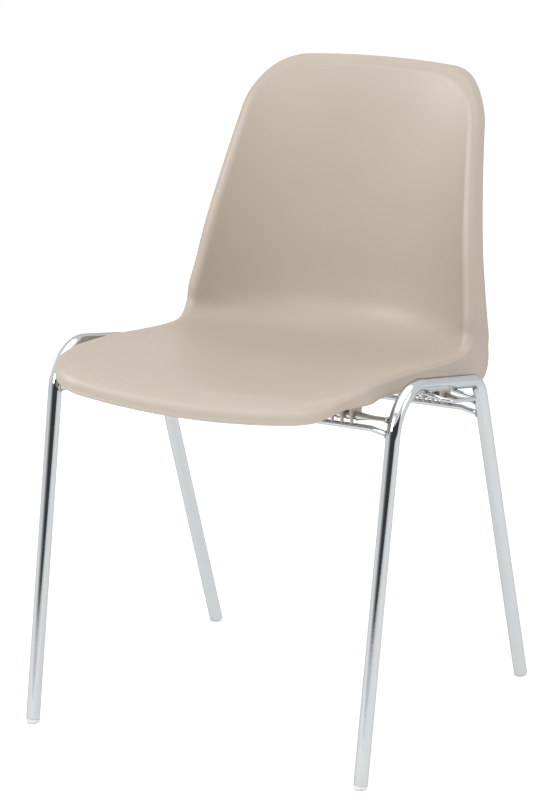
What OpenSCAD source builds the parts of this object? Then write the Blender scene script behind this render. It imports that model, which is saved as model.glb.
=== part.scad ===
// Stacking chair: a moulded bucket shell on two bent steel side frames.
// Millimetres. +Z is up, the sitter faces -Y, +X is the sitter's left.
// The origin is on the floor, under the middle of the chair's overall box.

/* [Side frames] */
// Outside diameter of the frame tube
tube_d = 17.2; // [14:0.2:20]
// Wall thickness of the frame tube
tube_wall = 1.5; // [1:0.1:2.5]
// Distance from the front feet to the rear feet, centre to centre
foot_depth = 444; // [400:1:480]
// Distance from the left feet to the right feet, centre to centre
foot_width = 463; // [440:1:490]
// How far the front legs lean back, degrees
front_rake = 10.6; // [8:0.1:14]
// How far the rear legs lean forward, degrees
rear_rake = 17.9; // [14:0.1:20]
// Height where a front leg's axis would meet its rail's axis
front_corner_h = 472; // [460:1:485]
// Height where a rear leg's axis would meet its rail's axis
rear_corner_h = 429; // [415:1:440]
// Bend radius of the front corner, to the tube's axis
front_bend_r = 60; // [40:1:64]
// Bend radius of the rear corner, to the tube's axis
rear_bend_r = 36; // [30:1:45]
// How far each side frame leans outward, degrees
side_lean = 0.57; // [0:0.01:1.5]
// How far each side frame is turned so that its front stands wider, degrees
side_toe = 0.42; // [0:0.01:1]

/* [Cross members] */
// Diameter of the thin cross rods
rod_d = 7; // [6:0.5:9]
// Height of the front rod's straight run
front_rod_h = 421; // [414:0.5:423]
// Height of the rear rod's straight run
rear_rod_h = 387; // [383:0.5:390]
// How far a rod's cranked ends drop to their welds
rod_drop = 5; // [4:0.5:10]
// Length of the slanting part of a rod's cranked end
rod_crank = 22; // [16:1:30]
// Diameter of the upper cross tubes
bar_d = 10; // [8:0.5:11]
// Height of an upper cross tube's axis above its rod's axis
bar_rise = 12; // [10.5:0.5:13]
// Length of an upper cross tube's flattened end
flat_len = 40; // [30:1:50]
// Thickness of an upper cross tube's flattened end
flat_t = 4.6; // [3.5:0.1:6]

/* [Row linking] */
// Rod diameter of the link loop and the link hooks
link_rod_d = 5; // [4:0.5:6]
// Width of the link loop along its rail
loop_w = 79; // [70:1:90]
// How far the loop stands out from its rail's axis
loop_reach = 33; // [28:1:40]
// How far the loop drops towards its outer end
loop_drop = 6; // [3:1:10]
// Depth of each hook's downward tip
hook_tip = 15; // [10:1:20]

/* [Glides] */
// Height of a glide's collar below the tube's end
glide_h = 5; // [4:0.5:8]
// Length of a glide's stem inside the tube
glide_stem = 22; // [15:1:30]

/* [Shell] */
// Wall thickness of the shell
shell_wall = 4; // [3:0.1:4.4]
// How far the rim's flange splays outward at the sides, degrees
rim_splay = 25; // [15:1:35]
// Angle of the nearly flat land between the rim's roll and its last round, degrees
land_turn = 16; // [10:1:22]
// Radius of that land
land_r = 22; // [16:1:30]
// Angle of the round from the land to the flange, degrees
round_turn = 30; // [20:1:38]
// Radius of that round, to its outer face
round_r = 5; // [4.6:0.1:7]
// Thickness of the moulded ribs
rib_t = 2.6; // [2:0.1:3.5]
// Distance from one rib to the next
rib_gap = 13; // [11:0.5:14]
// Ribs in each of the four groups
rib_count = 4; // [2:1:4]
// Distance from the middle to the outermost rib
rib_reach = 184; // [170:1:186]

/* [Hidden] */
$fn = 48;
EPS = 0.01;
STEEL = [0.80, 0.82, 0.84];
SHELL_COLOUR = [0.75, 0.70, 0.64];
GLIDE_COLOUR = [0.90, 0.91, 0.90];

// How far the middle of the overall box lies behind the middle of the feet
box_centre_y = 26;

// ---- Side frame: its outline in its own plane, as [along, up] ----

tube_bore = tube_d - 2 * tube_wall;
foot_y = foot_depth / 2;
front_foot = [-foot_y, 0];
rear_foot = [foot_y, 0];
front_corner = [-foot_y + front_corner_h * tan(front_rake), front_corner_h];
rear_corner = [foot_y - rear_corner_h * tan(rear_rake), rear_corner_h];
frame_outline = [front_foot, front_corner, rear_corner, rear_foot];
frame_bends = [0, front_bend_r, rear_bend_r, 0];

function unit(v) = v / norm(v);
function turn_angle(a, b) = atan2(a.x * b.y - a.y * b.x, a * b);

// Length that a bend of radius r takes off each side of corner i
function bend_cut(pts, i, r) =
    r * tan(abs(turn_angle(pts[i] - pts[i - 1], pts[i + 1] - pts[i])) / 2);

// Stops round corner i of a flat outline, each as [point, direction]
BEND_STEP = 9;
function bend_stops(pts, i, r) =
    let (
        into = unit(pts[i] - pts[i - 1]),
        turn = turn_angle(into, pts[i + 1] - pts[i]),
        left = [-into.y, into.x],
        centre = pts[i] - into * bend_cut(pts, i, r) + sign(turn) * r * left,
        count = ceil(abs(turn) / BEND_STEP)
    )
    [
        for (n = [0 : count])
            let (a = turn * n / count, way = cos(a) * into + sin(a) * left)
            [centre + sign(turn) * r * [way.y, -way.x], way]
    ];

// All the stops of a rod with round bends; each end runs past its last point by extra
function rod_stops(pts, bends, extra) =
    let (
        last = len(pts) - 1,
        first_way = unit(pts[1] - pts[0]),
        last_way = unit(pts[last] - pts[last - 1])
    )
    concat(
        [[pts[0] - extra * first_way, first_way]],
        [for (i = [1 : last - 1]) each bend_stops(pts, i, bends[i])],
        [[pts[last] + extra * last_way, last_way]]
    );
function ring(stop, d, sides) = [
    for (j = [0 : sides - 1])
        let (a = 360 * j / sides, across = d / 2 * cos(a))
        [stop[0].x - across * stop[1].y, stop[0].y + across * stop[1].x, d / 2 * sin(a)]
];
function quad(a, b, c, d) = [[a, b, c], [a, c, d]];

// A round rod of diameter d along a flat outline in the XY plane, hollow if bore is given
module bent_rod(pts, bends, d, bore = 0, extra = 0, sides = 12) {
    stops = rod_stops(pts, bends, extra);
    rings = len(stops);
    skin = [for (stop = stops) each ring(stop, d, sides)];
    wall = [
        for (i = [0 : rings - 2]) for (j = [0 : sides - 1])
            let (a = i * sides + j, b = i * sides + (j + 1) % sides)
            each quad(a, a + sides, b + sides, b)
    ];
    end = (rings - 1) * sides;
    if (bore == 0) {
        caps = [[for (j = [0 : sides - 1]) j], [for (j = [sides - 1 : -1 : 0]) end + j]];
        polyhedron(skin, concat(wall, caps));
    } else {
        inside = rings * sides;
        lining = [for (stop = stops) each ring(stop, bore, sides)];
        lining_wall = [for (f = wall) [inside + f[2], inside + f[1], inside + f[0]]];
        lips = [
            for (j = [0 : sides - 1])
                let (m = (j + 1) % sides)
                each concat(
                    quad(j, m, inside + m, inside + j),
                    quad(end + m, end + j, inside + end + j, inside + end + m)
                )
        ];
        polyhedron(concat(skin, lining), concat(wall, lining_wall, lips));
    }
}

// Puts something drawn in the left frame's plane (X along, Y up) where that frame stands
module on_left_frame() {
    translate([foot_width / 2, 0, 0]) rotate([0, 0, side_toe]) rotate([0, side_lean, 0])
        rotate([90, 0, 90]) children();
}

// A point of the left frame's plane, [along, up], in the chair's own directions
function on_frame(p) = [
    foot_width / 2 + p.y * sin(side_lean) * cos(side_toe) - p.x * sin(side_toe),
    p.y * sin(side_lean) * sin(side_toe) + p.x * cos(side_toe),
    p.y * cos(side_lean)
];
function front_leg_at(h) = on_frame([-foot_y + h * tan(front_rake), h]);
function rear_leg_at(h) = on_frame([foot_y - h * tan(rear_rake), h]);
rail_slope = (rear_corner.y - front_corner.y) / (rear_corner.x - front_corner.x);
function rail_at(y) = on_frame([y, front_corner.y + rail_slope * (y - front_corner.x)]);

// Shifts a piece from the feet's middle to the overall box's middle
module placed() { translate([0, -box_centre_y, 0]) children(); }

module side_frame() {
    color(STEEL) on_left_frame()
        bent_rod(frame_outline, frame_bends, tube_d, tube_bore, -glide_h, 24);
}
module left_side_frame() { placed() side_frame(); }
module right_side_frame() { placed() mirror([1, 0, 0]) side_frame(); }

// ---- Cross members ----

// Thin rod with cranked ends, welded to the inner faces of two legs
module cross_rod(weld, run_h) {
    reach = weld.x - tube_d / 2 + 1;
    bend_r = 2 * rod_d;
    outline = [
        [-reach, weld.z], [-reach + rod_crank, run_h],
        [reach - rod_crank, run_h], [reach, weld.z]
    ];
    color(STEEL) translate([0, weld.y, 0]) rotate([90, 0, 0])
        bent_rod(outline, [0, bend_r, bend_r, 0], rod_d);
}
module front_cross_rod() { placed() cross_rod(front_leg_at(front_rod_h - rod_drop), front_rod_h); }
module rear_cross_rod() { placed() cross_rod(rear_leg_at(rear_rod_h - rod_drop), rear_rod_h); }

// Tube with flattened ends, welded between two legs above the thin rod
module cross_tube(weld) {
    reach = weld.x - tube_d / 2 + 1;
    color(STEEL) translate([0, weld.y, weld.z]) {
        rotate([0, 90, 0]) cylinder(d = bar_d, h = 2 * (reach - flat_len), center = true);
        for (side = [-1, 1])
            hull() {
                translate([side * (reach - flat_len), 0, 0]) rotate([0, 90, 0])
                    cylinder(d = bar_d, h = EPS, center = true, $fn = 32);
                translate([side * (reach - flat_len / 4), 0, 0])
                    cube([flat_len / 2, bar_d * 1.2, flat_t], center = true);
            }
    }
}
module front_cross_tube() { placed() cross_tube(front_leg_at(front_rod_h + bar_rise)); }
module rear_cross_tube() { placed() cross_tube(rear_leg_at(rear_rod_h + bar_rise)); }

// ---- Row linking ----

loop_front_y = -62;
loop_rear_y = loop_front_y + loop_w;
rail_pitch = atan(rail_slope);
loop_bend_r = 12;
// A link rod's centre lies this far below its rail's axis
link_under = tube_d / 2 + link_rod_d / 2 - 0.6;

// Plane under a rail, X along the rail and Y outward, with the loop's droop
module under_rail(y) {
    translate(rail_at(y)) translate([0, 0, -link_under]) rotate([rail_pitch, 0, 0])
        rotate([0, atan(loop_drop / loop_reach), 0]) rotate([0, 0, -90]) children();
}
// Closed loop on the left rail
module link_loop() {
    outline = [[0, -4], [0, loop_reach], [loop_w, loop_reach], [loop_w, -4]];
    color(STEEL) placed() under_rail(loop_rear_y)
        bent_rod(outline, [0, loop_bend_r, loop_bend_r, 0], link_rod_d);
}
// Two hooks on the right rail that drop into a neighbour's loop
module link_hooks() {
    outline = [[-4, 0], [loop_reach, 0], [loop_reach, -hook_tip]];
    color(STEEL) placed() mirror([1, 0, 0])
        for (y = [loop_front_y + loop_w / 4, loop_rear_y - loop_w / 4])
            translate(rail_at(y)) translate([0, 0, -link_under])
                rotate([90, 0, 0]) bent_rod(outline, [0, 8, 0], link_rod_d);
}

// ---- Glides ----

// The stem clears the faceted bore of the tube by this much
stem_gap = 0.1;

// Plastic foot plug for one leg of the left frame, cut level with the floor
module glide(foot, rake) {
    color(GLIDE_COLOUR) difference() {
        on_left_frame() translate(foot) rotate([0, 0, rake]) rotate([-90, 0, 0]) {
            translate([0, 0, -6]) cylinder(d = tube_d, h = glide_h + 6);
            cylinder(d = tube_bore - 2 * stem_gap, h = glide_h + glide_stem);
        }
        translate([0, foot.x, -25]) cube([2 * foot_width, 80, 50], center = true);
    }
}
module glide_front_left() { placed() glide(front_foot, -front_rake); }
module glide_front_right() { placed() mirror([1, 0, 0]) glide(front_foot, -front_rake); }
module glide_rear_left() { placed() glide(rear_foot, rear_rake); }
module glide_rear_right() { placed() mirror([1, 0, 0]) glide(rear_foot, rear_rake); }

// ---- Shell ----

// Stations of the shell's sheet, without its rolled rim, from the seat's front to the
// back's top. Each is: the centre line's [y, z], the side's [x, y, z], how far the
// cross-section's arc has turned at the side (degrees), the radius of the rim's roll
// to its outer face, and the length of the rim's flange.
STATIONS = [
    [-214, 453,  196, -205, 469,  30, 20,  3],
    [-196, 456,  197, -184, 471,  32, 19,  9],
    [-170, 455,  198, -157, 472,  36, 16, 14],
    [-145, 453,  198, -130, 473,  42, 14, 14],
    [ -75, 446,  198,  -65, 469,  48, 12, 17],
    [   0, 438,  197,    5, 461,  52, 12, 22],
    [  70, 431,  196,   68, 455,  55, 12, 29],
    [ 125, 431,  194,  104, 457,  58, 12, 39],
    [ 168, 440,  192,  122, 470,  60, 12, 25],
    [ 194, 462,  190,  128, 491,  60, 12, 20],
    [ 206, 500,  185,  137, 520,  60, 12, 17],
    [ 215, 560,  177,  151, 572,  60, 12, 14],
    [ 225, 630,  168,  172, 632,  58, 12, 12],
    [ 236, 700,  159,  198, 696,  54, 13, 10],
    [ 243, 741,  153,  216, 737,  50, 15, 10],
    [ 250, 772,  148,  230, 768,  46, 18, 12]
];
LAST = len(STATIONS) - 1;
// Rounding of the sheet's corners: how many stations it takes, and how far it comes in
FRONT_CORNER = [2.2, 50];
TOP_CORNER = [1.5, 52];
CORNER_ROWS = 9;
MIDDLE_ROWS = 26;
COLUMNS = 24;
ROLL_STEPS = 4;

// Smooth curve through the stations, u from 0 (front edge) to 1 (top edge)
function station(i) =
    i < 0 ? 2 * STATIONS[0] - STATIONS[1] :
    i > LAST ? 2 * STATIONS[LAST] - STATIONS[LAST - 1] : STATIONS[i];
function through(a, b, c, d, f) =
    (2 * b + (c - a) * f + (2 * a - 5 * b + 4 * c - d) * f * f
     + (3 * b - a - 3 * c + d) * f * f * f) / 2;
function section(u) =
    let (w = min(max(u, 0), 1) * LAST, i = min(floor(w), LAST - 1))
    through(station(i - 1), station(i), station(i + 1), station(i + 2), w - i);

// Point of the sheet, v from -1 (right side) to 1 (left side)
function skin_at(u, v) =
    let (
        s = section(u),
        turn = s[5],
        across = sin(turn * v) / sin(turn),
        lift = (1 - cos(turn * v)) / (1 - cos(turn))
    )
    [s[2] * across, s[0] + (s[3] - s[0]) * lift, s[1] + (s[4] - s[1]) * lift];

// The sheet's normal, on the sitter's side
function normal(u, v) =
    let (e = 0.002, a = min(max(u, e), 1 - e))
    unit(cross(skin_at(a, v + e) - skin_at(a, v - e), skin_at(a + e, v) - skin_at(a - e, v)));

// Position across the sheet, as v, of a distance x from the middle
function across_at(u, x) = let (s = section(u)) asin(x * sin(s[5]) / s[2]) / s[5];

// Rows of the sheet as [u, inset of its edge], close together round the corners
function corner_row(corner, i) =
    let (a = 90 * i / (CORNER_ROWS - 1))
    [corner[0] / LAST * (1 - cos(a)), corner[1] * (1 - sin(a))];
function middle_row(i) =
    let (low = FRONT_CORNER[0] / LAST, high = 1 - TOP_CORNER[0] / LAST)
    [low + (high - low) * i / (MIDDLE_ROWS + 1), 0];
SHEET_ROWS = concat(
    [for (i = [0 : CORNER_ROWS - 1]) corner_row(FRONT_CORNER, i)],
    [for (i = [1 : MIDDLE_ROWS]) middle_row(i)],
    [
        for (i = [CORNER_ROWS - 1 : -1 : 0])
            let (row = corner_row(TOP_CORNER, i)) [1 - row[0], row[1]]
    ]
);
ROWS = len(SHEET_ROWS);
ROW_LIMITS = [for (row = SHEET_ROWS) across_at(row[0], section(row[0])[2] - row[1])];
function grid_uv(i, j) = [SHEET_ROWS[i][0], ROW_LIMITS[i] * (2 * j / (COLUMNS - 1) - 1)];

// The rim as one closed run of [row, column] pairs
RIM = concat(
    [for (j = [0 : COLUMNS - 1]) [0, j]],
    [for (i = [1 : ROWS - 1]) [i, COLUMNS - 1]],
    [for (j = [COLUMNS - 2 : -1 : 0]) [ROWS - 1, j]],
    [for (i = [ROWS - 2 : -1 : 1]) [i, 0]]
);
RIM_LEN = len(RIM);
RIM_UV = [for (r = RIM) grid_uv(r[0], r[1])];
RIM_POINTS = [for (p = RIM_UV) skin_at(p[0], p[1])];

// Directions at a rim point: out over the edge, and up on the sitter's side
function rim_axes(k) =
    let (
        ahead = RIM_POINTS[(k + 1) % RIM_LEN],
        behind = RIM_POINTS[(k + RIM_LEN - 1) % RIM_LEN],
        tangent = unit(ahead - behind),
        out = unit(cross(tangent, normal(RIM_UV[k][0], RIM_UV[k][1])))
    )
    [out, cross(out, tangent)];
RIM_AXES = [for (k = [0 : RIM_LEN - 1]) rim_axes(k)];

// Bends of the rim's outer face in turn, each as [radius, angle]: the roll, then at the
// sides the land and the last round. The flange after them runs straight.
function ease(t) = let (f = min(max(t, 0), 1)) f * f * (3 - 2 * f);
function rim_bends(k) =
    let (
        out = RIM_AXES[k][0],
        up = RIM_AXES[k][1],
        axis = normal(RIM_UV[k][0], 0),
        level = unit(out - (out * axis) * axis),
        splay = rim_splay * abs(level.x),
        aim = level * sin(splay) - axis * cos(splay),
        full = atan2(-(aim * up), aim * out),
        side = ease((abs(level.x) - 0.3) / 0.6),
        step = (full - side * (land_turn + round_turn)) / ROLL_STEPS
    )
    concat(
        [for (n = [1 : ROLL_STEPS]) [section(RIM_UV[k][0])[6], step]],
        [[land_r, side * land_turn], [round_r, side * round_turn]]
    );
BENDS = ROLL_STEPS + 2;

// Stops round the rim's outer face at each bend's end, each as [point, heading]
function rim_stops(k, bends, n = 0, stop = undef) =
    let (
        at = stop == undef ? [RIM_POINTS[k], 0] : stop,
        out = RIM_AXES[k][0],
        up = RIM_AXES[k][1],
        r = bends[n][0],
        after = at[1] + bends[n][1],
        next = [
            at[0] + r * (sin(after) - sin(at[1])) * out + r * (cos(after) - cos(at[1])) * up,
            after
        ]
    )
    n == BENDS - 1 ? [next] : concat([next], rim_stops(k, bends, n + 1, next));

// One cross-section of the rim: outer points, then inner points back to the sheet
function rim_section(k) =
    let (
        out = RIM_AXES[k][0],
        up = RIM_AXES[k][1],
        stops = rim_stops(k, rim_bends(k)),
        last = stops[BENDS - 1],
        end = last[0] + section(RIM_UV[k][0])[7] * (cos(last[1]) * out - sin(last[1]) * up),
        all = concat(stops, [[end, last[1]]])
    )
    concat(
        [for (s = all) s[0]],
        [
            for (n = [BENDS : -1 : 0])
                all[n][0] - shell_wall * (sin(all[n][1]) * out + cos(all[n][1]) * up)
        ]
    );

GRID = ROWS * COLUMNS;
BAND = 2 * BENDS + 2;
// Position in the RIM run of a grid point on the edge, or -1 inside
function rim_index(i, j) =
    i == 0 ? j :
    j == COLUMNS - 1 ? COLUMNS - 1 + i :
    i == ROWS - 1 ? 2 * (COLUMNS - 1) + (ROWS - 1) - j :
    j == 0 ? RIM_LEN - i : -1;

function top_point(i, j) = let (p = grid_uv(i, j)) skin_at(p[0], p[1]);
function under_point(i, j) =
    let (k = rim_index(i, j), p = grid_uv(i, j))
    k >= 0 ? RIM_POINTS[k] - shell_wall * RIM_AXES[k][1]
           : skin_at(p[0], p[1]) - shell_wall * normal(p[0], p[1]);

function grid_at(k) = RIM[k][0] * COLUMNS + RIM[k][1];
// Vertex number of layer n around the rim: 0 is the top edge, BAND + 1 the underside edge
function rim_vertex(k, n) =
    n == 0 ? grid_at(k) :
    n == BAND + 1 ? GRID + grid_at(k) : 2 * GRID + k * BAND + n - 1;

module shell_skin() {
    vertices = concat(
        [for (i = [0 : ROWS - 1]) for (j = [0 : COLUMNS - 1]) top_point(i, j)],
        [for (i = [0 : ROWS - 1]) for (j = [0 : COLUMNS - 1]) under_point(i, j)],
        [for (k = [0 : RIM_LEN - 1]) each rim_section(k)]
    );
    top_faces = [
        for (i = [0 : ROWS - 2]) for (j = [0 : COLUMNS - 2])
            let (a = i * COLUMNS + j) each quad(a, a + COLUMNS, a + COLUMNS + 1, a + 1)
    ];
    under_faces = [
        for (i = [0 : ROWS - 2]) for (j = [0 : COLUMNS - 2])
            let (a = GRID + i * COLUMNS + j) each quad(a, a + 1, a + COLUMNS + 1, a + COLUMNS)
    ];
    rim_faces = [
        for (k = [0 : RIM_LEN - 1]) for (n = [0 : BAND])
            let (m = (k + 1) % RIM_LEN)
            each quad(rim_vertex(k, n), rim_vertex(m, n), rim_vertex(m, n + 1), rim_vertex(k, n + 1))
    ];
    polyhedron(vertices, concat(top_faces, under_faces, rim_faces));
}

// One upright rib, from the middle of the shell's wall at u0..u1 down to a ledge
module rib(x, u0, u1, front_y, rear_y, ledge_h) {
    steps = 5;
    upper = [
        for (n = [0 : steps])
            let (u = u0 + (u1 - u0) * n / steps, v = across_at(u, x))
            skin_at(u, v) - shell_wall / 2 * normal(u, v)
    ];
    outline = concat([for (p = upper) [p.y, p.z]], [[rear_y, ledge_h], [front_y, ledge_h]]);
    translate([x - rib_t / 2, 0, 0]) rotate([90, 0, 90]) linear_extrude(rib_t) polygon(outline);
}

// A group of ribs each side, notched to sit over an upper cross tube
module rib_groups(weld, u0, u1, ledge_h) {
    clearance = 0.3;
    difference() {
        for (side = [-1, 1]) for (n = [0 : rib_count - 1])
            rib(side * (rib_reach - n * rib_gap), u0, u1, weld.y - 9, weld.y + 14, ledge_h);
        translate([0, weld.y, weld.z]) {
            rotate([0, 90, 0]) cylinder(d = bar_d + 2 * clearance, h = foot_width, center = true);
            translate([0, 0, -bar_d])
                cube([foot_width, bar_d + 2 * clearance, 2 * bar_d], center = true);
        }
    }
}

module seat_shell() {
    rib_clearance = 0.4;
    color(SHELL_COLOUR) placed() {
        shell_skin();
        rib_groups(front_leg_at(front_rod_h + bar_rise), 0.145, 0.215,
                   front_rod_h + rod_d / 2 + rib_clearance);
        rib_groups(rear_leg_at(rear_rod_h + bar_rise), 0.405, 0.465,
                   rear_rod_h + rod_d / 2 + rib_clearance);
    }
}

seat_shell();
left_side_frame();
right_side_frame();
front_cross_rod();
rear_cross_rod();
front_cross_tube();
rear_cross_tube();
link_loop();
link_hooks();
glide_front_left();
glide_front_right();
glide_rear_left();
glide_rear_right();
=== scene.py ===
"""Stacking chair: the visual model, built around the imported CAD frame. Metres, +Z up,
the sitter faces -Y and +X is the sitter's left."""
import math

import bmesh
import bpy
import numpy as np
from mathutils import Matrix, Vector


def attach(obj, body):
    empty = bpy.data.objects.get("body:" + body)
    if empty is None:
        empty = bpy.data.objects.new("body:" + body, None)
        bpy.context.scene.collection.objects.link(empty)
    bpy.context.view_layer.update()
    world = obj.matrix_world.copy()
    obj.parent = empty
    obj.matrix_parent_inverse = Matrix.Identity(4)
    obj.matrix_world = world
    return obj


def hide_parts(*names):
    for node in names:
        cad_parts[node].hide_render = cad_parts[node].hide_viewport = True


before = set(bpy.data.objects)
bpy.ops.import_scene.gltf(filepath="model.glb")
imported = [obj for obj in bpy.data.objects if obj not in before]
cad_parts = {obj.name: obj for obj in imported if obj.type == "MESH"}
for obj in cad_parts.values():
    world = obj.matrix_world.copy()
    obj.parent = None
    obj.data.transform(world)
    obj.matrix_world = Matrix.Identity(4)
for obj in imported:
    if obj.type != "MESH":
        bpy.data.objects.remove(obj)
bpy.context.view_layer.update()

MM = 0.001

# ---- Driving dimensions, in millimetres, the same as the CAD design's ----

TUBE_D = 17.2
TUBE_WALL = 1.5
FOOT_DEPTH = 444
FOOT_WIDTH = 463
FRONT_RAKE = math.radians(10.6)
REAR_RAKE = math.radians(17.9)
FRONT_CORNER_H = 472
REAR_CORNER_H = 429
FRONT_BEND_R = 60
REAR_BEND_R = 36
SIDE_LEAN = math.radians(0.57)
SIDE_TOE = math.radians(0.42)

ROD_D = 7
FRONT_ROD_H = 421
REAR_ROD_H = 387
ROD_DROP = 5
ROD_CRANK = 22
BAR_D = 10
BAR_RISE = 12
FLAT_LEN = 40
FLAT_T = 4.6
# How far a cross member's end runs into the leg tube's wall
END_BITE = 1

LINK_ROD_D = 5
LOOP_FRONT_Y = -62
LOOP_W = 79
LOOP_REACH = 33
LOOP_DROP = 6
HOOK_TIP = 15
# A wire's axis lies this far under its rail's, so that the two bite for the weld
WELD_BITE = 0.6
LINK_UNDER = TUBE_D / 2 + LINK_ROD_D / 2 - WELD_BITE
# How far a wire reaches under its rail past the rail's axis
LINK_ROOT = 4
LOOP_BEND_R = 12
HOOK_BEND_R = 8

GLIDE_H = 5

SHELL_WALL = 4.0
RIM_SPLAY = math.radians(25)
# Past the rim's roll: a fine step, a nearly flat land, then a tight round to the flange
STEP_TURN, STEP_R = math.radians(10), 0.8
LAND_TURN, LAND_R = math.radians(16), 22
ROUND_TURN, ROUND_R = math.radians(30), 5
FLANGE_STEPS = 4
RIB_T = 2.6
RIB_GAP = 13
RIB_COUNT = 4
RIB_REACH = 184
# Gaps that a rib leaves above the lower rod and round the upper tube
RIB_LEDGE_GAP = 0.4
RIB_NOTCH_GAP = 0.3
# How far a rib's ledge reaches behind and in front of the upper tube's axis
RIB_HEEL = 14
RIB_TOE = 9
# Stretches of the sheet, from 0 at its front to 1 at its top, that the ribs hang from
FRONT_RIBS_ON = (0.145, 0.215)
REAR_RIBS_ON = (0.405, 0.465)

# How far the middle of the overall box lies behind the middle of the feet
BOX_CENTRE_Y = 26

# The shell's sheet, without its rolled rim, at stations from the seat's front to the
# back's top: the centre line's y, z; the side's x, y, z; the arc turned at the side
# (degrees); the rim roll's radius; the flange's length.
STATIONS = np.array([
    [-214, 453, 196, -205, 469, 30, 20, 3],
    [-196, 456, 197, -184, 471, 32, 19, 9],
    [-170, 455, 198, -157, 472, 36, 16, 14],
    [-145, 453, 198, -130, 473, 42, 14, 14],
    [-75, 446, 198, -65, 469, 48, 12, 17],
    [0, 438, 197, 5, 461, 52, 12, 22],
    [70, 431, 196, 68, 455, 55, 12, 29],
    [125, 431, 194, 104, 457, 58, 12, 39],
    [168, 440, 192, 122, 470, 60, 12, 25],
    [194, 462, 190, 128, 491, 60, 12, 20],
    [206, 500, 185, 137, 520, 60, 12, 17],
    [215, 560, 177, 151, 572, 60, 12, 14],
    [225, 630, 168, 172, 632, 58, 12, 12],
    [236, 700, 159, 198, 696, 54, 13, 10],
    [243, 741, 153, 216, 737, 50, 15, 10],
    [250, 772, 148, 230, 768, 46, 18, 12],
], float)
# Rounding of the sheet's corners: how many stations it takes, and how far it comes in
FRONT_CORNER = (2.2, 50)
TOP_CORNER = (1.5, 52)


# ---- Node helpers ----

def new_material(name):
    """A new material; returns it, its nodes and its Principled shader."""
    mat = bpy.data.materials.new(name)
    mat.use_nodes = True
    nodes = mat.node_tree.nodes
    return mat, nodes, nodes["Principled BSDF"]


def noise(nodes, links, coords, scale, detail=3.0, rough=0.5):
    """A noise texture's value at coords."""
    tex = nodes.new("ShaderNodeTexNoise")
    tex.inputs["Scale"].default_value = scale
    tex.inputs["Detail"].default_value = detail
    tex.inputs["Roughness"].default_value = rough
    links.new(coords, tex.inputs["Vector"])
    return tex.outputs["Fac"]


def remap(nodes, links, value, low, high, out_low, out_high):
    """Map a value from one range to another, clamped."""
    node = nodes.new("ShaderNodeMapRange")
    links.new(value, node.inputs["Value"])
    for key, number in zip(("From Min", "From Max", "To Min", "To Max"),
                           (low, high, out_low, out_high)):
        node.inputs[key].default_value = number
    return node.outputs["Result"]


def mix_colour(nodes, links, factor, colour_a, colour_b):
    """A colour between a and b, by factor."""
    node = nodes.new("ShaderNodeMix")
    node.data_type = "RGBA"
    links.new(factor, node.inputs["Factor"])
    node.inputs["A"].default_value = (*colour_a, 1)
    node.inputs["B"].default_value = (*colour_b, 1)
    return node.outputs["Result"]


def bump(nodes, links, height, distance, strength, normal=None):
    """A normal bent by a height, on top of another bump's normal if one is given."""
    node = nodes.new("ShaderNodeBump")
    node.inputs["Strength"].default_value = strength
    node.inputs["Distance"].default_value = distance
    links.new(height, node.inputs["Height"])
    if normal is not None:
        links.new(normal, node.inputs["Normal"])
    return node.outputs["Normal"]


def object_coords(nodes):
    return nodes.new("ShaderNodeTexCoord").outputs["Object"]


# ---- Materials ----

def shell_plastic():
    """Satin polypropylene with a fine moulded grain and faint flow mottling."""
    mat, nodes, shader = new_material("shell_plastic")
    links = mat.node_tree.links
    coords = object_coords(nodes)
    mottle = remap(nodes, links, noise(nodes, links, coords, 9, 4), 0.3, 0.7, 0, 1)
    links.new(mix_colour(nodes, links, mottle, (0.478, 0.412, 0.340), (0.492, 0.425, 0.352)),
              shader.inputs["Base Color"])
    grain = noise(nodes, links, coords, 850, 2, 0.6)
    links.new(remap(nodes, links, grain, 0.3, 0.7, 0.40, 0.54), shader.inputs["Roughness"])
    slow = bump(nodes, links, noise(nodes, links, coords, 22, 2), 0.0008, 0.05)
    links.new(bump(nodes, links, grain, 0.00022, 0.6, slow), shader.inputs["Normal"])
    shader.inputs["Specular IOR Level"].default_value = 0.5
    return mat


def chrome():
    """Bright chrome plate with faint handling marks and draw lines."""
    mat, nodes, shader = new_material("chromed_steel")
    links = mat.node_tree.links
    coords = object_coords(nodes)
    smudge = noise(nodes, links, coords, 35, 5, 0.6)
    links.new(remap(nodes, links, smudge, 0.45, 0.75, 0.04, 0.10), shader.inputs["Roughness"])
    links.new(mix_colour(nodes, links, smudge, (0.565, 0.590, 0.605), (0.525, 0.545, 0.560)),
              shader.inputs["Base Color"])
    fine = noise(nodes, links, coords, 240, 3)
    links.new(bump(nodes, links, fine, 0.0002, 0.06), shader.inputs["Normal"])
    shader.inputs["Metallic"].default_value = 1.0
    shader.inputs["Specular Tint"].default_value = (0.62, 0.64, 0.66, 1)
    return mat


def weld_metal():
    """Plated weld bead: the same chrome over a rough, rippled surface."""
    mat, nodes, shader = new_material("weld_bead")
    links = mat.node_tree.links
    coords = object_coords(nodes)
    ripple = noise(nodes, links, coords, 420, 4, 0.6)
    links.new(mix_colour(nodes, links, ripple, (0.50, 0.50, 0.51), (0.30, 0.29, 0.28)),
              shader.inputs["Base Color"])
    links.new(remap(nodes, links, ripple, 0.3, 0.7, 0.22, 0.45), shader.inputs["Roughness"])
    links.new(bump(nodes, links, ripple, 0.0008, 0.5), shader.inputs["Normal"])
    shader.inputs["Metallic"].default_value = 1.0
    return mat


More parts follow.
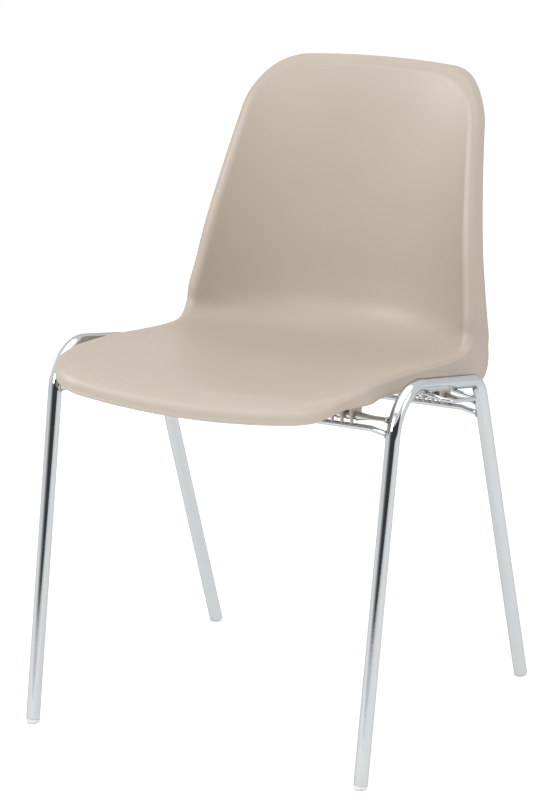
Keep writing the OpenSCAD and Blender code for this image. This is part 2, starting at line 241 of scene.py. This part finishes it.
def glide_plastic():
    """Milky polyethylene, scuffed where it meets the floor."""
    mat, nodes, shader = new_material("glide_plastic")
    links = mat.node_tree.links
    coords = object_coords(nodes)
    height = nodes.new("ShaderNodeSeparateXYZ")
    links.new(coords, height.inputs["Vector"])
    scuff = remap(nodes, links, height.outputs["Z"], 0.0, 0.004, 1, 0)
    links.new(mix_colour(nodes, links, scuff, (0.80, 0.82, 0.81), (0.55, 0.54, 0.51)),
              shader.inputs["Base Color"])
    cloud = noise(nodes, links, coords, 260, 4)
    links.new(remap(nodes, links, cloud, 0.3, 0.7, 0.32, 0.52), shader.inputs["Roughness"])
    links.new(bump(nodes, links, cloud, 0.0002, 0.3), shader.inputs["Normal"])
    shader.inputs["Subsurface Weight"].default_value = 0.25
    shader.inputs["Subsurface Radius"].default_value = (0.004, 0.004, 0.004)
    return mat


def floor_paint():
    """Pale seamless floor."""
    mat, nodes, shader = new_material("studio_floor")
    links = mat.node_tree.links
    cloud = noise(nodes, links, object_coords(nodes), 2, 3)
    links.new(mix_colour(nodes, links, cloud, (0.42, 0.42, 0.42), (0.44, 0.44, 0.44)),
              shader.inputs["Base Color"])
    shader.inputs["Roughness"].default_value = 0.85
    shader.inputs["Specular IOR Level"].default_value = 0.2
    shader.inputs["Emission Color"].default_value = (1, 1, 1, 1)
    shader.inputs["Emission Strength"].default_value = 0.75
    return mat


def painted_reflection_glow():
    """Painted reflection: a dark sheet's faint glow, brighter to its left and along its foot,
    which the chrome and the shell reflect.
    """
    mat, nodes, shader = new_material("painted_reflection_glow")
    links = mat.node_tree.links
    coords = object_coords(nodes)
    place = nodes.new("ShaderNodeSeparateXYZ")
    links.new(coords, place.inputs["Vector"])
    # Painted reflection: the glow rises towards the sheet's left end and along its foot, and is
    # near black elsewhere
    painted_left_glow = remap(nodes, links, place.outputs["X"], -3.0, 0.6, 1, 0)
    glow = nodes.new("ShaderNodeMath")
    glow.operation = "POWER"
    glow.inputs[1].default_value = 1.6
    links.new(painted_left_glow, glow.inputs[0])
    under = remap(nodes, links, place.outputs["Z"], 0.12, 0.26, 1, 0)
    painted_glow = nodes.new("ShaderNodeMath")
    painted_glow.operation = "MAXIMUM"
    links.new(glow.outputs["Value"], painted_glow.inputs[0])
    links.new(under, painted_glow.inputs[1])
    links.new(mix_colour(nodes, links, painted_glow.outputs["Value"],
                         (0.035, 0.035, 0.038), (0.85, 0.86, 0.88)),
              shader.inputs["Emission Color"])
    shader.inputs["Emission Strength"].default_value = 1.0
    shader.inputs["Base Color"].default_value = (0.01, 0.01, 0.01, 1)
    shader.inputs["Roughness"].default_value = 0.9
    return mat


MATERIALS = {
    "shell": shell_plastic(),
    "chrome": chrome(),
    "weld": weld_metal(),
    "glide": glide_plastic(),
    "floor": floor_paint(),
    "painted_reflection": painted_reflection_glow(),
}


# ---- Mesh helpers ----

def add_mesh(name, vertices, faces, material, smooth_angle=40):
    """A new object from millimetre vertices placed about the feet's middle."""
    mesh = bpy.data.meshes.new(name)
    points = (np.asarray(vertices, float) - [0, BOX_CENTRE_Y, 0]) * MM
    mesh.from_pydata(points.tolist(), [], faces)
    work = bmesh.new()
    work.from_mesh(mesh)
    bmesh.ops.recalc_face_normals(work, faces=work.faces)
    sharp = math.radians(smooth_angle)
    for edge in work.edges:
        edge.smooth = edge.calc_face_angle(0.0) < sharp
    for face in work.faces:
        face.smooth = True
    work.to_mesh(mesh)
    work.free()
    obj = bpy.data.objects.new(name, mesh)
    bpy.context.scene.collection.objects.link(obj)
    mesh.materials.append(MATERIALS[material])
    return obj


def keep(obj, slot_name, *nodes):
    """Put a piece on the chair's body, in place of CAD nodes, which it hides. slot_name is not
    used.
    """
    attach(obj, "root")
    if nodes:
        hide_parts(*nodes)
    return obj


def grid_faces(rows, columns, start=0, closed=False):
    """Quads of a grid of vertices, closed round its columns if asked."""
    faces = []
    for i in range(rows - 1):
        for j in range(columns if closed else columns - 1):
            m = (j + 1) % columns
            a, b = start + i * columns, start + (i + 1) * columns
            faces.append((a + j, a + m, b + m, b + j))
    return faces


def side_name(side):
    return "left" if side > 0 else "right"


def unit(v):
    return v / np.linalg.norm(v, axis=-1, keepdims=True)


# ---- Round rods and tubes along flat outlines ----

def cross2(a, b):
    return a[0] * b[1] - a[1] * b[0]


def rod_stops(points, bends, step=math.radians(4)):
    """Stops along a flat outline with round corners, each a (point, direction) pair."""
    points = [np.array(p, float) for p in points]
    stops = [(points[0], unit(points[1] - points[0]))]
    for i in range(1, len(points) - 1):
        into, out = unit(points[i] - points[i - 1]), unit(points[i + 1] - points[i])
        turn = math.atan2(cross2(into, out), into @ out)
        side, left = math.copysign(1, turn), np.array([-into[1], into[0]])
        radius = bends[i]
        centre = points[i] - into * radius * math.tan(abs(turn) / 2) + side * radius * left
        count = math.ceil(abs(turn) / step)
        for n in range(count + 1):
            angle = turn * n / count
            way = math.cos(angle) * into + math.sin(angle) * left
            stops.append((centre + side * radius * np.array([way[1], -way[0]]), way))
    stops.append((points[-1], unit(points[-1] - points[-2])))
    return stops


def with_supports(path, gap=25):
    """The path with rings added along its straight runs, which keeps their shading even."""
    full = [path[0]]
    for (start, way, _, low), (end, end_way, shrink, high) in zip(path, path[1:]):
        length = np.linalg.norm(end - start)
        if length > 2 * gap:
            count = int(length / gap)
            inner = [i / count for i in range(1, count)]
            for t in [1 / length] + inner + [1 - 1 / length]:
                full.append((start + (end - start) * t, way, 1.0, low + (high - low) * t))
        full.append((end, end_way, shrink, high))
    return full


def swept_rod(name, stops, place, material, radius, sides=40, round_end=0.5, section=None):
    """A closed rod through the stops. place maps the outline's plane to the chair.
    section(t) may give the half-sizes (in plane, out of plane) at a share t of the rod."""
    rings = []
    count = len(stops) - 1
    (first, first_way), (last, last_way) = stops[0], stops[-1]
    quarter = [math.radians(a) for a in (0, 30, 60, 90)]
    path = [(first + first_way * round_end * (1 - math.cos(a)), first_way,
             1 - round_end / radius * (1 - math.sin(a)), 0.0) for a in quarter]
    path += [(p, w, 1.0, i / count) for i, (p, w) in enumerate(stops) if 0 < i < count]
    path += [(last - last_way * round_end * (1 - math.cos(a)), last_way,
              1 - round_end / radius * (1 - math.sin(a)), 1.0) for a in reversed(quarter)]
    path = with_supports(path)
    for point, way, shrink, share in path:
        wide, tall = section(share) if section else (radius, radius)
        ring = []
        for j in range(sides):
            a = 2 * math.pi * j / sides
            across = wide * shrink * math.cos(a)
            ring.append(place @ Vector((point[0] - across * way[1], point[1] + across * way[0],
                                        tall * shrink * math.sin(a))))
        rings.append(ring)
    vertices = [v for ring in rings for v in ring]
    faces = grid_faces(len(rings), sides, closed=True)
    faces.append(tuple(reversed(range(sides))))
    faces.append(tuple(range((len(rings) - 1) * sides, len(rings) * sides)))
    return add_mesh(name, vertices, faces, material)


MIRROR_X = Matrix.Scale(-1, 4, (1, 0, 0))
# Left frame's plane (X along, Y up) to the chair
LEFT_FRAME = (Matrix.Translation((FOOT_WIDTH / 2, 0, 0))
              @ Matrix.Rotation(SIDE_TOE, 4, "Z") @ Matrix.Rotation(SIDE_LEAN, 4, "Y")
              @ Matrix(((0, 0, 1, 0), (1, 0, 0, 0), (0, 1, 0, 0), (0, 0, 0, 1))))

FRONT_CORNER_Y = -FOOT_DEPTH / 2 + FRONT_CORNER_H * math.tan(FRONT_RAKE)
REAR_CORNER_Y = FOOT_DEPTH / 2 - REAR_CORNER_H * math.tan(REAR_RAKE)
RAIL_SLOPE = (REAR_CORNER_H - FRONT_CORNER_H) / (REAR_CORNER_Y - FRONT_CORNER_Y)


def on_frame(along, up):
    return LEFT_FRAME @ Vector((along, up, 0))


def front_leg_at(height):
    return on_frame(-FOOT_DEPTH / 2 + height * math.tan(FRONT_RAKE), height)


def rear_leg_at(height):
    return on_frame(FOOT_DEPTH / 2 - height * math.tan(REAR_RAKE), height)


def rail_at(y):
    return on_frame(y, FRONT_CORNER_H + RAIL_SLOPE * (y - FRONT_CORNER_Y))


def side_frames():
    """Front leg, rail and rear leg in one bent tube, on each side."""
    half = FOOT_DEPTH / 2
    front_way = np.array([math.sin(FRONT_RAKE), math.cos(FRONT_RAKE)])
    rear_way = np.array([-math.sin(REAR_RAKE), math.cos(REAR_RAKE)])
    outline = [np.array([-half, 0]) + GLIDE_H * front_way,
               (FRONT_CORNER_Y, FRONT_CORNER_H), (REAR_CORNER_Y, REAR_CORNER_H),
               np.array([half, 0]) + GLIDE_H * rear_way]
    stops = rod_stops(outline, [0, FRONT_BEND_R, REAR_BEND_R, 0])
    for name, place in (("left", LEFT_FRAME), ("right", MIRROR_X @ LEFT_FRAME)):
        tube = swept_rod(f"{name}_side_tube", stops, place, "chrome", TUBE_D / 2, 64, 0.7)
        keep(tube, "chromed_steel", f"{name}_side_frame")


# ---- Cross members ----

def across_chair(weld):
    """The plane of a cross member: X across the chair, Y up, through a weld's depth."""
    return Matrix.Translation((0, weld.y, 0)) @ Matrix.Rotation(math.pi / 2, 4, "X")


def cross_rods():
    """Thin rods between the legs, with ends cranked down to their welds."""
    rows = (("front", front_leg_at(FRONT_ROD_H - ROD_DROP), FRONT_ROD_H),
            ("rear", rear_leg_at(REAR_ROD_H - ROD_DROP), REAR_ROD_H))
    for name, weld, run_h in rows:
        reach = weld.x - TUBE_D / 2 + END_BITE
        outline = [(-reach, weld.z), (-reach + ROD_CRANK, run_h),
                   (reach - ROD_CRANK, run_h), (reach, weld.z)]
        stops = rod_stops(outline, [0, 2 * ROD_D, 2 * ROD_D, 0])
        rod = swept_rod(f"{name}_rod", stops, across_chair(weld), "chrome", ROD_D / 2, 28)
        keep(rod, "chromed_steel", f"{name}_cross_rod")
        for side in (-1, 1):
            weld_bead(f"weld_{name}_rod_{side_name(side)}",
                      Vector((side * (reach - END_BITE), weld.y, weld.z)), Vector((side, 0, 0)),
                      ROD_D / 2, ROD_D / 2)


def cross_tubes():
    """Tubes above the rods, pressed flat at their welds."""
    rows = (("front", front_leg_at(FRONT_ROD_H + BAR_RISE)),
            ("rear", rear_leg_at(REAR_ROD_H + BAR_RISE)))
    for name, weld in rows:
        reach = weld.x - TUBE_D / 2 + END_BITE
        count = 160
        stops = [(np.array([reach * (2 * i / count - 1), weld.z]), np.array([1.0, 0.0]))
                 for i in range(count + 1)]

        def section(share, reach=reach):
            from_end = reach * (1 - abs(2 * share - 1))
            flat = 1 - min(max((from_end - FLAT_LEN / 2) / (FLAT_LEN / 2), 0), 1)
            ease = flat * flat * (3 - 2 * flat)
            return (BAR_D / 2 + ease * (FLAT_T - BAR_D) / 2, BAR_D / 2 * (1 + 0.2 * ease))

        tube = swept_rod(f"{name}_tube", stops, across_chair(weld), "chrome", BAR_D / 2, 36,
                         0.4, section)
        keep(tube, "chromed_steel", f"{name}_cross_tube")
        for side in (-1, 1):
            weld_bead(f"weld_{name}_tube_{side_name(side)}",
                      Vector((side * (reach - END_BITE), weld.y, weld.z)), Vector((side, 0, 0)),
                      BAR_D * 0.6, FLAT_T / 2)


def weld_bead(name, centre, axis, half_wide, half_tall, bead=1.5):
    """A rippled fillet of weld round a rod's end, where it meets a tube."""
    turns, sides = 48, 10
    axis = axis.normalized()
    up = Vector((0, 0, 1)) if abs(axis.z) < 0.9 else Vector((0, 1, 0))
    wide = axis.cross(up).normalized()
    tall = wide.cross(axis).normalized()
    vertices = []
    for i in range(turns):
        a = 2 * math.pi * i / turns
        hub = centre + wide * half_wide * math.cos(a) + tall * half_tall * math.sin(a)
        out = (wide * math.cos(a) + tall * math.sin(a)).normalized()
        size = bead * (1 + 0.16 * math.sin(9 * a) + 0.08 * math.sin(23 * a + 1))
        for j in range(sides):
            b = 2 * math.pi * j / sides
            vertices.append(hub + out * size * math.cos(b) + axis * size * math.sin(b))
    faces = grid_faces(turns, sides, closed=True)
    faces += [((turns - 1) * sides + j, (turns - 1) * sides + (j + 1) % sides,
               (j + 1) % sides, j) for j in range(sides)]
    return keep(add_mesh(name, vertices, faces, "weld", 80), "chromed_steel")


# ---- Row linking ----

def link_loop():
    """Closed wire loop under the left rail, with a weld at each root."""
    pitch, droop = math.atan(RAIL_SLOPE), math.atan(LOOP_DROP / LOOP_REACH)
    origin = rail_at(LOOP_FRONT_Y + LOOP_W) - Vector((0, 0, LINK_UNDER))
    place = (Matrix.Translation(origin) @ Matrix.Rotation(pitch, 4, "X")
             @ Matrix.Rotation(droop, 4, "Y") @ Matrix.Rotation(-math.pi / 2, 4, "Z"))
    outline = [(0, -LINK_ROOT), (0, LOOP_REACH), (LOOP_W, LOOP_REACH), (LOOP_W, -LINK_ROOT)]
    stops = rod_stops(outline, [0, LOOP_BEND_R, LOOP_BEND_R, 0])
    loop = swept_rod("link_loop_wire", stops, place, "chrome", LINK_ROD_D / 2, 24)
    keep(loop, "chromed_steel", "link_loop")
    for n, along in enumerate((0, LOOP_W)):
        centre = place @ Vector((along, 0, LINK_ROD_D / 3))
        weld_bead(f"weld_loop_{n}", centre, Vector((1, 0, 0)), LINK_ROD_D / 2, LINK_ROD_D / 3)


def link_hooks():
    """Two hooks under the right rail, to drop into a neighbour's loop."""
    outline = [(-LINK_ROOT, 0), (LOOP_REACH, 0), (LOOP_REACH, -HOOK_TIP)]
    stops = rod_stops(outline, [0, HOOK_BEND_R, 0])
    hooks = []
    for n, y in enumerate((LOOP_FRONT_Y + LOOP_W / 4, LOOP_FRONT_Y + 3 * LOOP_W / 4)):
        origin = rail_at(y) - Vector((0, 0, LINK_UNDER))
        place = MIRROR_X @ Matrix.Translation(origin) @ Matrix.Rotation(math.pi / 2, 4, "X")
        hooks.append(swept_rod(f"link_hook_{n}", stops, place, "chrome", LINK_ROD_D / 2, 24))
        centre = place @ Vector((0, LINK_ROD_D / 3, 0))
        weld_bead(f"weld_hook_{n}", centre, Vector((1, 0, 0)), LINK_ROD_D / 2, LINK_ROD_D / 3)
    keep(hooks[0], "chromed_steel", "link_hooks")
    keep(hooks[1], "chromed_steel")


# ---- Glides ----

def glides():
    """Foot plugs: a rounded collar under the tube, cut level with the floor."""
    corners = (("front_left", -1, LEFT_FRAME), ("front_right", -1, MIRROR_X @ LEFT_FRAME),
               ("rear_left", 1, LEFT_FRAME), ("rear_right", 1, MIRROR_X @ LEFT_FRAME))
    radius = TUBE_D / 2
    # The collar's outline from the floor up: radius and height along the leg
    profile = [(radius - 2.2, -4), (radius - 0.6, 1.2), (radius, 2.2), (radius, GLIDE_H - 0.5),
               (radius - 0.4, GLIDE_H), (radius - TUBE_WALL, GLIDE_H + 0.1),
               (radius - TUBE_WALL - 0.2, GLIDE_H + 12), (radius - TUBE_WALL - 1, GLIDE_H + 14)]
    sides = 56
    for name, end, place in corners:
        rake = -FRONT_RAKE if end < 0 else REAR_RAKE
        way = Vector((-math.sin(rake), math.cos(rake), 0))
        across = Vector((way.y, -way.x, 0))
        foot = Vector((end * FOOT_DEPTH / 2, 0, 0))
        vertices = []
        for r, h in profile:
            for j in range(sides):
                a = 2 * math.pi * j / sides
                point = foot + way * h + across * r * math.cos(a) + Vector((0, 0, r * math.sin(a)))
                spot = place @ point
                spot.z = max(spot.z, 0)
                vertices.append(spot)
        faces = grid_faces(len(profile), sides, closed=True)
        faces.append(tuple(reversed(range(sides))))
        faces.append(tuple(range((len(profile) - 1) * sides, len(profile) * sides)))
        glide = add_mesh(f"glide_{name}_plug", vertices, faces, "glide", 50)
        keep(glide, "glide_plastic", f"glide_{name}")


# ---- Shell ----

def section(u):
    """Smooth curve through the stations, u from 0 (front edge) to 1 (top edge)."""
    last = len(STATIONS) - 1
    table = np.vstack([2 * STATIONS[0] - STATIONS[1], STATIONS,
                       2 * STATIONS[last] - STATIONS[last - 1]])
    w = np.clip(u, 0, 1) * last
    i = np.minimum(np.floor(w).astype(int), last - 1)
    f = (w - i)[..., None]
    a, b, c, d = (table[i + n] for n in range(4))
    return (2 * b + (c - a) * f + (2 * a - 5 * b + 4 * c - d) * f ** 2
            + (3 * b - a - 3 * c + d) * f ** 3) / 2


def skin_at(u, v):
    """Point of the seating surface, v from -1 (right rim) to 1 (left rim)."""
    s = section(np.asarray(u, float))
    turn = np.radians(s[..., 5])
    across = np.sin(turn * v) / np.sin(turn)
    lift = (1 - np.cos(turn * v)) / (1 - np.cos(turn))
    return np.stack([s[..., 2] * across, s[..., 0] + (s[..., 3] - s[..., 0]) * lift,
                     s[..., 1] + (s[..., 4] - s[..., 1]) * lift], -1)


def skin_normal(u, v):
    """The sheet's normal on the sitter's side."""
    e = 0.002
    a = np.clip(u, e, 1 - e)
    return unit(np.cross(skin_at(a, v + e) - skin_at(a, v - e),
                         skin_at(a + e, v) - skin_at(a - e, v)))


def side_limit(u, inset):
    """The v at which the sheet's edge lies, inset from the station's full width."""
    s = section(u)
    turn = np.radians(s[..., 5])
    return np.arcsin((s[..., 2] - inset) / s[..., 2] * np.sin(turn)) / turn


def sheet_rows(corner_rows, middle_rows):
    """Rows from front to top as (u, inset): close together round the rounded corners."""
    last = len(STATIONS) - 1
    theta = np.linspace(0, math.pi / 2, corner_rows)
    front = FRONT_CORNER[0] / last * (1 - np.cos(theta))
    top = 1 - TOP_CORNER[0] / last * (1 - np.cos(theta[::-1]))
    middle = np.linspace(front[-1], top[0], middle_rows)[1:-1]
    inset = np.concatenate([FRONT_CORNER[1] * (1 - np.sin(theta)), 0 * middle,
                            TOP_CORNER[1] * (1 - np.sin(theta[::-1]))])
    return np.concatenate([front, middle, top]), inset


def dot(a, b):
    return (a * b).sum(-1, keepdims=True)


def rim_rings(u, edge, normal, axis):
    """Rings of the rolled rim, from the shell's upper edge round to its underside."""
    tangent = unit(np.roll(edge, -1, 0) - np.roll(edge, 1, 0))
    out = unit(np.cross(tangent, normal))
    up = np.cross(out, tangent)
    level = unit(out - dot(out, axis) * axis)
    sideways = np.abs(level[:, :1])
    splay = RIM_SPLAY * sideways
    aim = level * np.sin(splay) - axis * np.cos(splay)
    full = np.arctan2(-dot(aim, up), dot(aim, out))
    ease = np.clip((sideways - 0.3) / 0.6, 0, 1)
    ease = ease * ease * (3 - 2 * ease)
    radius, flange = section(u)[:, 6:7], section(u)[:, 7:8]
    turns = [(radius, full - ease * (STEP_TURN + LAND_TURN + ROUND_TURN), 10),
             (STEP_R, ease * STEP_TURN, 2), (LAND_R, ease * LAND_TURN, 3),
             (ROUND_R, ease * ROUND_TURN, 4)]
    heading, point = 0 * full, edge
    outer, inner = [], [edge - SHELL_WALL * up]
    for r, turn, steps in turns:
        for n in range(steps):
            after = heading + turn / steps
            point = (point + r * (np.sin(after) - np.sin(heading)) * out
                     + r * (np.cos(after) - np.cos(heading)) * up)
            heading = after
            outer.append(point)
            inner.append(point - SHELL_WALL * (np.sin(heading) * out + np.cos(heading) * up))
    tip = out * np.cos(heading) - up * np.sin(heading)
    facing = out * np.sin(heading) + up * np.cos(heading)
    for _ in range(FLANGE_STEPS):
        outer.append(outer[-1] + (flange - 1) / FLANGE_STEPS * tip)
        inner.append(inner[-1] + (flange - 1) / FLANGE_STEPS * tip)
    # The flange's free edge is rounded over its thickness
    middle, half = (outer[-1] + inner[-1]) / 2, SHELL_WALL / 2
    edge_rings = [middle + half * math.cos(math.radians(a)) * facing
                  + math.sin(math.radians(a)) * tip for a in (30, 60, 90, 120, 150)]
    return outer + edge_rings + inner[::-1]


def shell_skin(corner_rows=24, middle_rows=150, columns=97):
    """The whole moulding: upper sheet, underside, and the rolled rim that joins them."""
    row_u, inset = sheet_rows(corner_rows, middle_rows)
    rows = len(row_u)
    u = np.repeat(row_u[:, None], columns, 1)
    v = side_limit(row_u, inset)[:, None] * np.linspace(-1, 1, columns)
    top = skin_at(u, v)
    normals = skin_normal(u, v)
    under = top - SHELL_WALL * normals
    rim = ([(0, j) for j in range(columns - 1)] + [(i, columns - 1) for i in range(rows - 1)]
           + [(rows - 1, j) for j in range(columns - 1, 0, -1)]
           + [(i, 0) for i in range(rows - 1, 0, -1)])
    ri, rj = np.array(rim).T
    rings = rim_rings(u[ri, rj], top[ri, rj], normals[ri, rj],
                      skin_normal(u[ri, rj], 0 * u[ri, rj]))
    under[ri, rj] = rings[-1]
    rings = rings[:-1]
    count, grid = len(rim), rows * columns
    vertices = np.vstack([top.reshape(-1, 3), under.reshape(-1, 3)] + rings)
    faces = grid_faces(rows, columns)
    faces += [tuple(reversed(f)) for f in grid_faces(rows, columns, grid)]
    edge_ids = ri * columns + rj
    layers = ([edge_ids] + [2 * grid + n * count + np.arange(count) for n in range(len(rings))]
              + [grid + edge_ids])
    for low, high in zip(layers, layers[1:]):
        for k in range(count):
            m = (k + 1) % count
            faces.append((low[k], high[k], high[m], low[m]))
    faces = [tuple(int(i) for i in f) for f in faces]
    return add_mesh("shell_moulding", vertices, faces, "shell", 75)


def shell_ribs():
    """Groups of moulded webs under the seat, notched over the upper cross tubes."""
    groups = (("front", front_leg_at(FRONT_ROD_H + BAR_RISE), FRONT_RIBS_ON, FRONT_ROD_H),
              ("rear", rear_leg_at(REAR_ROD_H + BAR_RISE), REAR_RIBS_ON, REAR_ROD_H))
    for name, weld, stretch, rod_h in groups:
        ledge = rod_h + ROD_D / 2 + RIB_LEDGE_GAP
        for side in (-1, 1):
            for n in range(RIB_COUNT):
                x = side * (RIB_REACH - n * RIB_GAP)
                rib = one_rib(f"rib_{name}_{side_name(side)}_{n}",
                              x, stretch, weld, ledge)
                keep(rib, "shell_plastic")


def one_rib(name, x, stretch, weld, ledge):
    """A flat web across x, from the sheet down to its notch and ledge."""
    u = np.linspace(*stretch, 8)
    s = section(u)
    turn = np.radians(s[:, 5])
    v = np.arcsin(x * np.sin(turn) / s[:, 2]) / turn
    upper = skin_at(u, v) - [0, 0, SHELL_WALL / 2]
    notch_r = BAR_D / 2 + RIB_NOTCH_GAP
    outline = [(p[1], p[2]) for p in upper]
    outline += [(weld.y + RIB_HEEL, ledge), (weld.y + notch_r, ledge)]
    outline += [(weld.y + notch_r * math.cos(a), weld.z + notch_r * math.sin(a))
                for a in np.linspace(0, math.pi, 13)]
    outline += [(weld.y - notch_r, ledge), (weld.y - RIB_TOE, ledge)]
    count = len(outline)
    vertices = [(x + d, y, z) for d in (-RIB_T / 2, RIB_T / 2) for y, z in outline]
    faces = [tuple(range(count)), tuple(reversed(range(count, 2 * count)))]
    faces += [(j, (j + 1) % count, count + (j + 1) % count, count + j) for j in range(count)]
    rib = add_mesh(name, vertices, faces, "shell", 30)
    bevel = rib.modifiers.new("soft_edges", "BEVEL")
    bevel.width = 0.35 * MM
    bevel.segments = 2
    return rib


# ---- Studio ----

def studio(shell_only):
    """Pale floor, white backdrop and soft lights; the glint lights shell_only alone."""
    world = bpy.data.worlds.new("studio_world")
    world.use_nodes = True
    backdrop = world.node_tree.nodes["Background"]
    backdrop.inputs["Color"].default_value = (1, 1, 1, 1)
    # The backdrop looks white, but fills the shadows less than that
    ray = world.node_tree.nodes.new("ShaderNodeLightPath")
    strength = remap(world.node_tree.nodes, world.node_tree.links,
                     ray.outputs["Is Diffuse Ray"], 0, 1, 1.0, 0.42)
    world.node_tree.links.new(strength, backdrop.inputs["Strength"])
    bpy.context.scene.world = world

    bpy.ops.mesh.primitive_circle_add(vertices=96, radius=12, fill_type="NGON")
    floor = bpy.context.object
    floor.name = "studio_floor"
    floor.data.materials.append(MATERIALS["floor"])
    # Painted reflection: a dark sheet that only reflections see
    painted_reflection_sheet()
    soft_light("overhead", 0, 90, 4.2, 6.0, 142)
    soft_light("key_light", -8, 30, 3.4, 1.6, 39)
    soft_light("left_light", -95, 12, 2.6, 1.2, 2.5)
    soft_light("right_light", 105, 25, 3.0, 1.5, 9.5)
    glint = soft_light("shell_glint", -54, 27, 3.0, 0.5, 50)
    glint.visible_diffuse = False
    glint.light_linking.receiver_collection = shell_only


def soft_light(name, azimuth, elevation, distance, size, power):
    """A square soft light aimed at the chair; azimuth 0 is in front, 90 on the right."""
    a, e = math.radians(azimuth), math.radians(elevation)
    aim = Vector((0, 0, 0.5))
    way = Vector((math.sin(a) * math.cos(e), -math.cos(a) * math.cos(e), math.sin(e)))
    light = bpy.data.lights.new(name, "AREA")
    light.size = size
    light.energy = power
    obj = bpy.data.objects.new(name, light)
    obj.location = aim + way * distance
    obj.rotation_euler = way.to_track_quat("Z", "Y").to_euler()
    bpy.context.scene.collection.objects.link(obj)
    return obj


def painted_reflection_sheet():
    """A dark sheet behind the camera, which only reflections see: it paints dark reflections into
    the chrome and the shell's sheen.
    """
    radius, low, high, steps = 5.0, 0.0, 2.9, 24
    start, sweep = -35, 127
    vertices = []
    for i in range(steps + 1):
        a = math.radians(start + sweep * i / steps)
        for z in (low, high):
            vertices.append((radius * math.sin(a), -radius * math.cos(a), z))
    faces = [(2 * i, 2 * i + 1, 2 * i + 3, 2 * i + 2) for i in range(steps)]
    mesh = bpy.data.meshes.new("painted_reflection_sheet")
    mesh.from_pydata(vertices, [], faces)
    mesh.materials.append(MATERIALS["painted_reflection"])
    room = bpy.data.objects.new("painted_reflection_sheet", mesh)
    bpy.context.scene.collection.objects.link(room)
    room.visible_camera = False
    room.visible_diffuse = False
    room.visible_shadow = False
    room.visible_transmission = False


def camera():
    """A long lens from the sitter's front left, a little above the seat."""
    azimuth, elevation, roll = math.radians(30.05), math.radians(15.28), math.radians(-0.67)
    distance, aim = 4.072, Vector((-0.0162, -0.0112, 0.3886))
    back = Vector((math.sin(azimuth) * math.cos(elevation),
                   -math.cos(azimuth) * math.cos(elevation), math.sin(elevation)))
    level = Vector((math.cos(azimuth), math.sin(azimuth), 0))
    upright = back.cross(level)
    right = level * math.cos(roll) + upright * math.sin(roll)
    up = back.cross(right)
    data = bpy.data.cameras.new("photo_camera")
    data.lens = 146.6
    data.sensor_width = 36
    data.clip_end = 50
    obj = bpy.data.objects.new("photo_camera", data)
    turn = Matrix((right, up, back)).transposed()
    obj.matrix_world = Matrix.Translation(aim + back * distance) @ turn.to_4x4()
    bpy.context.scene.collection.objects.link(obj)
    bpy.context.scene.camera = obj


camera()
side_frames()
cross_rods()
cross_tubes()
link_loop()
link_hooks()
glides()
skin = keep(shell_skin(), "shell_plastic", "seat_shell")
shell_ribs()
shell_only = bpy.data.collections.new("shell_only")
shell_only.objects.link(skin)
studio(shell_only)
bpy.context.scene.view_settings.view_transform = "Standard"
